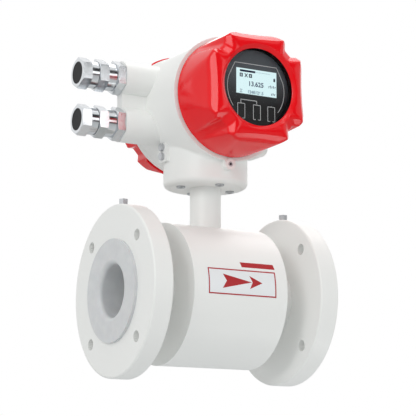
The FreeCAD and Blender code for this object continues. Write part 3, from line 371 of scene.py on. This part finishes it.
def turn_ring(corners, closed=True):
    """Spins a profile of (radius, along) corners in mm about the drum's axis, along Y."""
    bm = bmesh.new()
    verts = [bm.verts.new(DRUM_AXIS + Vector((r * MM, y * MM, 0))) for r, y in corners]
    for start, end in zip(verts, verts[1:]):
        bm.edges.new((start, end))
    if closed:
        bm.edges.new((verts[-1], verts[0]))
    bmesh.ops.spin(
        bm,
        geom=bm.verts[:] + bm.edges[:],
        cent=DRUM_AXIS,
        axis=(0, 1, 0),
        angle=FULL_TURN,
        steps=COVER_STEPS,
        use_merge=True,
        use_duplicate=False,
    )
    bmesh.ops.remove_doubles(bm, verts=bm.verts[:], dist=WELD)
    bmesh.ops.recalc_face_normals(bm, faces=bm.faces[:])
    return bm


def soften_rings(bm, offset):
    """Rounds every edge of a turned ring that isn't nearly flat."""
    sharp = [e for e in bm.edges if len(e.link_faces) == 2 and e.calc_face_angle() > ROUNDED_EDGE]
    bmesh.ops.bevel(
        bm,
        geom=sharp,
        offset=offset * MM,
        offset_type="OFFSET",
        affect="EDGES",
        segments=2,
        profile=0.5,
        material=-1,
    )


# ---------------------------------------------------------------- red screwed covers

DRUM_AXIS = Vector((0, 0, 188 * MM))
COVER_STEPS = 480
QUARTER = math.pi / 2
OUT_OF_REACH = 1000.0
SCOOP_ROUND = 300.0
VALLEY_HALF = 4.5
VALLEY_SIDE = math.tan(math.radians(40))
LEAST_OPENING = 0.02

# Radii, and distances along the axis from the drum's middle, in mm.
SKIRT_BORE = 54.75
SKIRT_END = 47.8
SKIRT_DEPTH = 50.8
THREAD_BORE = 52.3
THREAD_END = 62.5
INNER_BORE = 49.0
RING_SEAT = 44.0
RING_START = 75.0
GLASS_SEAT = 40.8
GLASS_START = 88.0
WINDOW_BORE = 37.2
WINDOW_LEDGE = 99.5
FRONT_FACE = 103.0
REAR_FACE = 72.8
REAR_INNER_FACE = 68.0
REAR_RIM = 62.7
SLICE = 0.9


def least(a, b, reach):
    """The smaller of two radii, with the corner between them rounded over `reach` mm."""
    near = max(reach - abs(a - b), 0) / reach
    return min(a, b) - near * near * reach / 4


def scoop_limit(angle, back, floor, tilt):
    """Radius left by a broad shallow scoop centred on angle 0."""
    middle = floor + back * math.tan(math.radians(tilt))
    across = middle * math.tan(angle)
    return (middle + across * across / (2 * SCOOP_ROUND)) / math.cos(angle)


def valley_limit(angle, back, floor, tilt, reach):
    """Radius left by a flat-bottomed valley centred on angle 0."""
    middle = floor + back * math.tan(math.radians(tilt))
    opening = math.cos(angle) * VALLEY_SIDE - abs(math.sin(angle))
    side = OUT_OF_REACH
    if opening > LEAST_OPENING:
        side = (middle * VALLEY_SIDE - VALLEY_HALF) / opening
    return -least(-middle / math.cos(angle), -side, reach)


def carve_grips(bm, face, turn, scoops, valleys, reach):
    """Draws a cover's skin in to the scoops and valleys of its hand grip.

    Each scoop and valley is a floor radius at the face and a tilt in degrees; `reach` mm
    rounds where they meet, and `turn` degrees is how far the cover is screwed round.
    """
    for vert in bm.verts:
        offset = vert.co - DRUM_AXIS
        radius = math.hypot(offset.x, offset.z) / MM
        if radius < 1:
            continue
        angle = math.atan2(offset.x, offset.z) - math.radians(turn)
        back = max(face - abs(offset.y) / MM, 0)
        limit = OUT_OF_REACH
        for floor, tilt in scoops:
            beside = (angle + QUARTER / 2) % QUARTER - QUARTER / 2
            limit = least(limit, scoop_limit(beside, back, floor, tilt), reach)
        for floor, tilt in valleys:
            beside = angle % QUARTER - QUARTER / 2
            limit = least(limit, valley_limit(beside, back, floor, tilt, reach), reach)
        shrink = least(radius, limit, reach) / radius
        vert.co = (offset.x * shrink, vert.co.y, DRUM_AXIS.z + offset.z * shrink)


def slice_lengthwise(bm, near, far):
    """Divides the skin between two distances along the drum's axis into even slices."""
    for cut in range(1, int((far - near) / SLICE)):
        slice_across(bm, (0, (near + cut * SLICE) * MM, 0), (0, 1, 0))


def window_cover():
    """The front cover: a round skirt, broad scoops, deep valleys and the window's bezel."""
    corners = [
        (SKIRT_BORE, -SKIRT_END),
        (58.1, -SKIRT_END),
        (57.2, -101.6),
        (41.3, -FRONT_FACE),
        (WINDOW_BORE, -100.0),
        (WINDOW_BORE, -WINDOW_LEDGE),
        (GLASS_SEAT, -WINDOW_LEDGE),
        (GLASS_SEAT, -GLASS_START),
        (RING_SEAT, -GLASS_START),
        (RING_SEAT, -RING_START),
        (INNER_BORE, -RING_START),
        (INNER_BORE, -THREAD_END),
        (THREAD_BORE, -THREAD_END),
        (THREAD_BORE, -SKIRT_DEPTH),
        (SKIRT_BORE, -SKIRT_DEPTH),
    ]
    bm = turn_ring(corners)
    soften_rings(bm, 0.25)
    slice_lengthwise(bm, -102.8, -48.6)
    scoops = [(50.3, 10.0), (44.3, 45.0)]
    valleys = [(50.5, 9.0), (41.5, 58.0)]
    carve_grips(bm, FRONT_FACE, -2.0, scoops, valleys, 2.4)
    red = FINISHES["red_paint"]
    piece = finished("front_cover_casting", bm, red, "front_cover_body")
    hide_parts("front_cover")


def blind_cover():
    """The rear cover: a flanged rim, a shallower grip and a closed back."""
    # Two rings on the flat back keep its faces small, so that it shades evenly.
    corners = [
        (0, REAR_FACE),
        (30.0, REAR_FACE),
        (49.0, REAR_FACE),
        (58.0, REAR_FACE),
        (60.0, SKIRT_DEPTH),
        (REAR_RIM, SKIRT_DEPTH),
        (REAR_RIM, SKIRT_END),
        (SKIRT_BORE, SKIRT_END),
        (SKIRT_BORE, SKIRT_DEPTH),
        (THREAD_BORE, SKIRT_DEPTH),
        (THREAD_BORE, THREAD_END),
        (INNER_BORE, THREAD_END),
        (INNER_BORE, REAR_INNER_FACE),
        (0, REAR_INNER_FACE),
    ]
    bm = turn_ring(corners, closed=False)
    soften_rings(bm, 0.3)
    slice_lengthwise(bm, 51.4, 72.4)
    carve_grips(bm, REAR_FACE, 3.6, [(52.5, 22.5)], [(52.6, 8.0)], 1.0)
    red = FINISHES["red_paint"]
    piece = finished("rear_cover_casting", bm, red, "rear_cover_body")
    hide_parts("rear_cover")


window_cover()
blind_cover()


# ---------------------------------------------------------------- printed graphics

SHELL_RADIUS = 68.3
FILM_RADIUS = 68.5
INK = 0.04
WRAP_PITCH = 2.5


def flat_shape(bm, outline):
    """One flat face from a closed outline of (right, up) points in mm."""
    return bm.faces.new([bm.verts.new((right * MM, 0, up * MM)) for right, up in outline])


def frame_shape(bm, left, bottom, right, top, line):
    """A rectangular frame with lines of a given width, as four mitred faces."""
    outer = [(left, bottom), (right, bottom), (right, top), (left, top)]
    inner = [
        (left + line, bottom + line),
        (right - line, bottom + line),
        (right - line, top - line),
        (left + line, top - line),
    ]
    for side in range(4):
        after = (side + 1) % 4
        flat_shape(bm, [outer[side], outer[after], inner[after], inner[side]])


def thicken_print(bm):
    """Gives flat faces on the XZ plane the thickness of the ink towards -Y."""
    bmesh.ops.remove_doubles(bm, verts=bm.verts[:], dist=WELD)
    made = bmesh.ops.extrude_face_region(bm, geom=bm.faces[:])
    moved = [v for v in made["geom"] if isinstance(v, bmesh.types.BMVert)]
    bmesh.ops.translate(bm, vec=(0, -INK * MM, 0), verts=moved)
    bmesh.ops.recalc_face_normals(bm, faces=bm.faces[:])


def wrap_print(bm, radius, low, high):
    """Bends a flat print, whose height is arc length, round the shell's cylinder."""
    for cut in range(1, int((high - low) / WRAP_PITCH) + 1):
        slice_across(bm, (0, 0, (low + cut * WRAP_PITCH) * MM), (0, 0, 1))
    for vert in bm.verts:
        around = vert.co.z / (radius * MM)
        reach = radius * MM - vert.co.y
        vert.co = (vert.co.x, -reach * math.cos(around), reach * math.sin(around))


def flow_arrow():
    """The flow arrow in its frame on the label film, and the bare banner above it."""
    bm = bmesh.new()
    frame_shape(bm, -35.7, -5.6, 38.0, 19.2, 1.2)
    flat_shape(bm, [(-20.0, 13.9), (-16.2, 7.4), (-20.8, 0.2), (11.2, 7.4)])
    flat_shape(bm, [(8.8, 13.6), (22.7, 7.3), (8.8, 1.0), (12.0, 7.3)])
    thicken_print(bm)
    wrap_print(bm, FILM_RADIUS, -6, 20)
    finished("flow_arrow_print", bm, RED_INK, "meter_body")
    bm = bmesh.new()
    flat_shape(bm, [(2.0, 22.0), (38.5, 22.0), (37.4, 27.2), (0.8, 27.2)])
    thicken_print(bm)
    wrap_print(bm, SHELL_RADIUS, 21, 28)
    finished("banner_print", bm, RED_INK, "meter_body")


PANEL_FACE = -93.4
SCREEN_FACE = -93.1
STROKE_GAIN = 0.14
PANEL_MIDDLE = (1.1, 187.5)
PANEL_LINE = 0.55
KEY_LEFTS = (-20.2, -3.0, 12.9)
KEY_WIDTH = 7.8
KEY_FOOT = -29.6
KEY_HEAD = -15.6
KEY_TOE = 2.6
TICK = 0.9


def stroke(bm, start, end):
    """A straight printed line between two points on the panel."""
    along = Vector(end) - Vector(start)
    side = Vector((-along.y, along.x)).normalized() * PANEL_LINE / 2
    ends = [Vector(start) + side, Vector(start) - side, Vector(end) - side, Vector(end) + side]
    flat_shape(bm, [tuple(corner) for corner in ends])


def polyline(bm, points):
    """Straight printed lines from point to point."""
    for start, end in zip(points, points[1:]):
        stroke(bm, start, end)


def arc_line(bm, radius, start, end):
    """A printed arc about the panel's middle; angles in degrees from +X."""
    verts = [bm.verts.new(((radius + side * PANEL_LINE / 2) * MM, 0, 0)) for side in (-1, 1)]
    edge = bm.edges.new(verts)
    bmesh.ops.rotate(
        bm, verts=verts, cent=(0, 0, 0), matrix=Matrix.Rotation(-math.radians(start), 3, "Y")
    )
    bmesh.ops.spin(
        bm,
        geom=verts + [edge],
        cent=(0, 0, 0),
        axis=(0, 1, 0),
        angle=-math.radians(end - start),
        steps=24,
        use_duplicate=False,
    )


def set_in_panel(bm, face):
    """Moves a flat print from the origin to the middle of the panel."""
    right, up = PANEL_MIDDLE
    bmesh.ops.translate(bm, vec=(right * MM, face * MM, up * MM), verts=bm.verts[:])


def key_outline(bm, left):
    """A touch key, open at the middle of its foot, with a small tick on its head."""
    right = left + KEY_WIDTH
    corners = [
        (left + KEY_TOE, KEY_FOOT),
        (left, KEY_FOOT),
        (left, KEY_HEAD),
        (right, KEY_HEAD),
        (right, KEY_FOOT),
        (right - KEY_TOE, KEY_FOOT),
    ]
    polyline(bm, corners)
    middle = (left + right) / 2
    tick = [(middle - TICK, KEY_HEAD), (middle + TICK, KEY_HEAD), (middle, KEY_HEAD + TICK)]
    flat_shape(bm, tick)


def panel_lines():
    """The pale frame line, the bracket and the three key outlines on the front foil."""
    bm = bmesh.new()
    radius, top, corner, bend = 31.3, 23.4, 23.0, 10.0
    meet = math.degrees(math.asin(bend / radius))
    stroke(bm, (-corner, top), (corner, top))
    for side in (-1, 1):
        joint = (side * radius * math.cos(math.radians(meet)), bend)
        stroke(bm, (side * corner, top), joint)
    arc_line(bm, radius, -40, meet)
    arc_line(bm, radius, 180 - meet, 217)
    for left in KEY_LEFTS:
        key_outline(bm, left)
    polyline(bm, [(-16.8, KEY_HEAD), (-16.8, -11.8), (0.7, -11.8), (0.7, -14.4)])
    thicken_print(bm)
    set_in_panel(bm, PANEL_FACE)
    finished("panel_line_print", bm, PANEL_INK, "meter_body")


def screen_text(name, words, size, left, base, material):
    """Numbers on the screen, from the built-in font, as a thin mesh."""
    curve = bpy.data.curves.new(name, "FONT")
    curve.body = words
    curve.size = size * MM
    curve.extrude = INK * MM
    curve.offset = STROKE_GAIN * MM
    holder = new_object(name + "_text", curve)
    mesh = bpy.data.meshes.new_from_object(holder)
    bpy.data.objects.remove(holder)
    bm = bmesh.new()
    bm.from_mesh(mesh)
    bpy.data.meshes.remove(mesh)
    upright = Matrix.Rotation(math.pi / 2, 4, "X")
    bmesh.ops.transform(bm, matrix=upright, verts=bm.verts[:])
    bmesh.ops.translate(bm, vec=(left * MM, -INK * MM, base * MM), verts=bm.verts[:])
    set_in_panel(bm, SCREEN_FACE)
    finished(name, bm, material, "meter_body")


def blocks(name, rectangles, material):
    """Plain filled rectangles on the screen: (left, bottom, right, top)."""
    bm = bmesh.new()
    for left, bottom, right, top in rectangles:
        flat_shape(bm, [(left, bottom), (right, bottom), (right, top), (left, top)])
    thicken_print(bm)
    set_in_panel(bm, SCREEN_FACE)
    finished(name, bm, material, "meter_body")


def screen_marks():
    """What the screen shows: a level bar, small symbols, the reading and a total."""
    symbols = [(-17.5, 15.2, -0.6, 17.2)]
    for left in (-17.7, -7.6):
        symbols += [(left, 10.2, left + 1.0, 13.8), (left + 2.4, 10.2, left + 3.4, 13.8)]
        symbols += [(left + 1.0, 10.2, left + 2.4, 11.1), (left + 1.0, 12.9, left + 2.4, 13.8)]
        symbols += [(left + 1.4, 11.5, left + 2.0, 12.5)]
    for step in range(6):
        low, high = 10.2 + step * 0.6, 10.8 + step * 0.6
        for start in (-12.4 + step * 0.5, -9.9 - step * 0.5):
            symbols.append((start, low, start + 1.1, high))
    symbols += [(19.6, 9.4, 21.6, 12.2), (20.2, 12.2, 21.0, 12.9)]
    blocks("screen_symbols", symbols, DARK_DOTS)
    blocks("screen_bar_rest", [(-0.6, 16.0, 16.0, 16.3)], FAINT_DOTS)
    units = []
    for left, bottom, count in ((14.2, 2.6, 5), (17.2, -4.4, 3)):
        for number in range(count):
            start = left + number * 1.7
            units.append((start, bottom, start + 0.5, bottom + 2.0 + 0.8 * (number % 2)))
            units.append((start + 0.5, bottom + 1.5, start + 1.2, bottom + 2.0))
    blocks("screen_unit_marks", units, MID_DOTS)
    screen_text("screen_reading", "13.625", 6.3, -8.4, 2.3, MID_DOTS)
    screen_text("screen_total", "1248126.5", 4.2, -9.3, -5.0, FAINT_DOTS)
    sum_mark = [
        (-17.6, -5.0, -14.9, -4.5),
        (-17.6, -2.4, -14.9, -1.9),
        (-17.0, -3.9, -15.6, -3.4),
    ]
    blocks("screen_sum_mark", sum_mark, MID_DOTS)


flow_arrow()
panel_lines()
screen_marks()


# ---------------------------------------------------------------- studio

CAMERA_PLACE = (-0.8056, -1.3954, -0.2013)
CAMERA_TURN = math.radians(-30.09)
CAMERA_TILT = math.radians(-10.18)
CAMERA_LENS = 144.74
SENSOR_WIDTH = 36
OBJECT_MIDDLE = Vector((0, 0, 90 * MM))
WORLD_LEVEL = 0.68
FLOOR_HEIGHT = -0.6
FLOOR_SIZE = 14
FLOOR_GLOW = 0.3
CARD_SIZE = 6.0
CARD_MIDDLE = (0.3, -3.6, 1.2)

# Name, place, width and height in metres, and brightness of the lamp's face, 1 being white.
SOFTBOXES = (
    ("front_softbox", (0.68, -1.85, 0.435), 0.6, 0.6, 2.2),
    ("left_softbox", (-1.75, -1.05, 0.7), 0.9, 0.8, 4.8),
    ("top_softbox", (0.85, 0.3, 1.6), 0.9, 0.9, 2.6),
    ("crown_softbox", (-0.15, -1.1, 1.75), 0.5, 0.5, 4.5),
    ("low_softbox", (0.43, -0.31, -0.5), 0.2, 0.2, 3.5),
    ("back_softbox", (1.0, 1.5, 0.9), 0.8, 0.8, 1.6),
)


def aimed(thing, place, direction):
    """Puts a camera or lamp in its place and points it along a direction."""
    thing.location = place
    thing.rotation_mode = "QUATERNION"
    thing.rotation_quaternion = direction.to_track_quat("-Z", "Y")


def camera():
    """The camera stands low in front of the inlet side and looks slightly up."""
    data = bpy.data.cameras.new("camera")
    data.sensor_width = SENSOR_WIDTH
    data.lens = CAMERA_LENS
    data.clip_start = 0.05
    data.clip_end = 50
    eye = new_object("camera", data)
    level = math.cos(CAMERA_TILT)
    back = Vector(
        (math.sin(CAMERA_TURN) * level, -math.cos(CAMERA_TURN) * level, math.sin(CAMERA_TILT))
    )
    aimed(eye, CAMERA_PLACE, -back)
    bpy.context.scene.camera = eye


def softbox(name, place, width, height, level):
    """A rectangular lamp aimed at the object and hidden from the camera."""
    data = bpy.data.lights.new(name, "AREA")
    data.shape = "RECTANGLE"
    data.size = width
    data.size_y = height
    data.energy = level * math.pi * width * height
    lamp = new_object(name, data)
    lamp.visible_camera = False
    aimed(lamp, place, OBJECT_MIDDLE - Vector(place))


def surroundings():
    """A grey-white world for light, which the camera, metal and glass see as plain white."""
    world = bpy.data.worlds.new("studio")
    bpy.context.scene.world = world
    world.use_nodes = True
    world.node_tree.nodes.clear()
    tint = linear("#FBFBFA")
    light = add_node(world, "ShaderNodeBackground", {"Color": tint, "Strength": WORLD_LEVEL})
    white = add_node(world, "ShaderNodeBackground", {"Color": (1, 1, 1, 1), "Strength": 1.0})
    ray = add_node(world, "ShaderNodeLightPath")
    seen = ray.outputs["Is Camera Ray"]
    for other in ("Is Glossy Ray", "Is Transmission Ray"):
        either = add_node(
            world, "ShaderNodeMath", {"operation": "MAXIMUM"}, {0: seen, 1: ray.outputs[other]}
        )
        seen = either.outputs["Value"]
    mixed = add_node(
        world,
        "ShaderNodeMixShader",
        None,
        {0: seen, 1: light.outputs["Background"], 2: white.outputs["Background"]},
    )
    add_node(world, "ShaderNodeOutputWorld", None, {"Surface": mixed.outputs["Shader"]})


def flat_stage(name, size, matrix, material):
    """A flat square of the studio, such as the floor or a card."""
    bm = bmesh.new()
    bmesh.ops.create_grid(bm, x_segments=1, y_segments=1, size=size / 2, matrix=matrix)
    mesh = bpy.data.meshes.new(name)
    bm.to_mesh(mesh)
    bm.free()
    mesh.materials.append(material)
    stage = new_object(name, mesh)
    return stage


def studio():
    """The floor, a dark card that only shiny surfaces see, and the lamps."""
    bpy.context.scene.view_settings.view_transform = "Standard"
    floor, shader = principled("pale_floor", "#D6D8D9", 0.85, Emission_Color=(1, 1, 1, 1))
    unevenness(floor, shader, 40.0, 0.2)
    ray = add_node(floor, "ShaderNodeLightPath")
    lift = add_node(
        floor,
        "ShaderNodeMath",
        {"operation": "MULTIPLY", 1: FLOOR_GLOW},
        {0: ray.outputs["Is Camera Ray"]},
    )
    floor.node_tree.links.new(lift.outputs["Value"], shader.inputs["Emission Strength"])
    flat_stage("floor", FLOOR_SIZE, Matrix.Translation((0, 0, FLOOR_HEIGHT)), floor)
    grey, _ = principled("grey_card", "#2B2C2E", 0.9)
    standing = Matrix.Translation(CARD_MIDDLE) @ Matrix.Rotation(math.pi / 2, 4, "X")
    card = flat_stage("card_behind_camera", CARD_SIZE, standing, grey)
    card.visible_camera = False
    card.visible_diffuse = False
    card.visible_shadow = False
    for lamp in SOFTBOXES:
        softbox(*lamp)


camera()
surroundings()
studio()
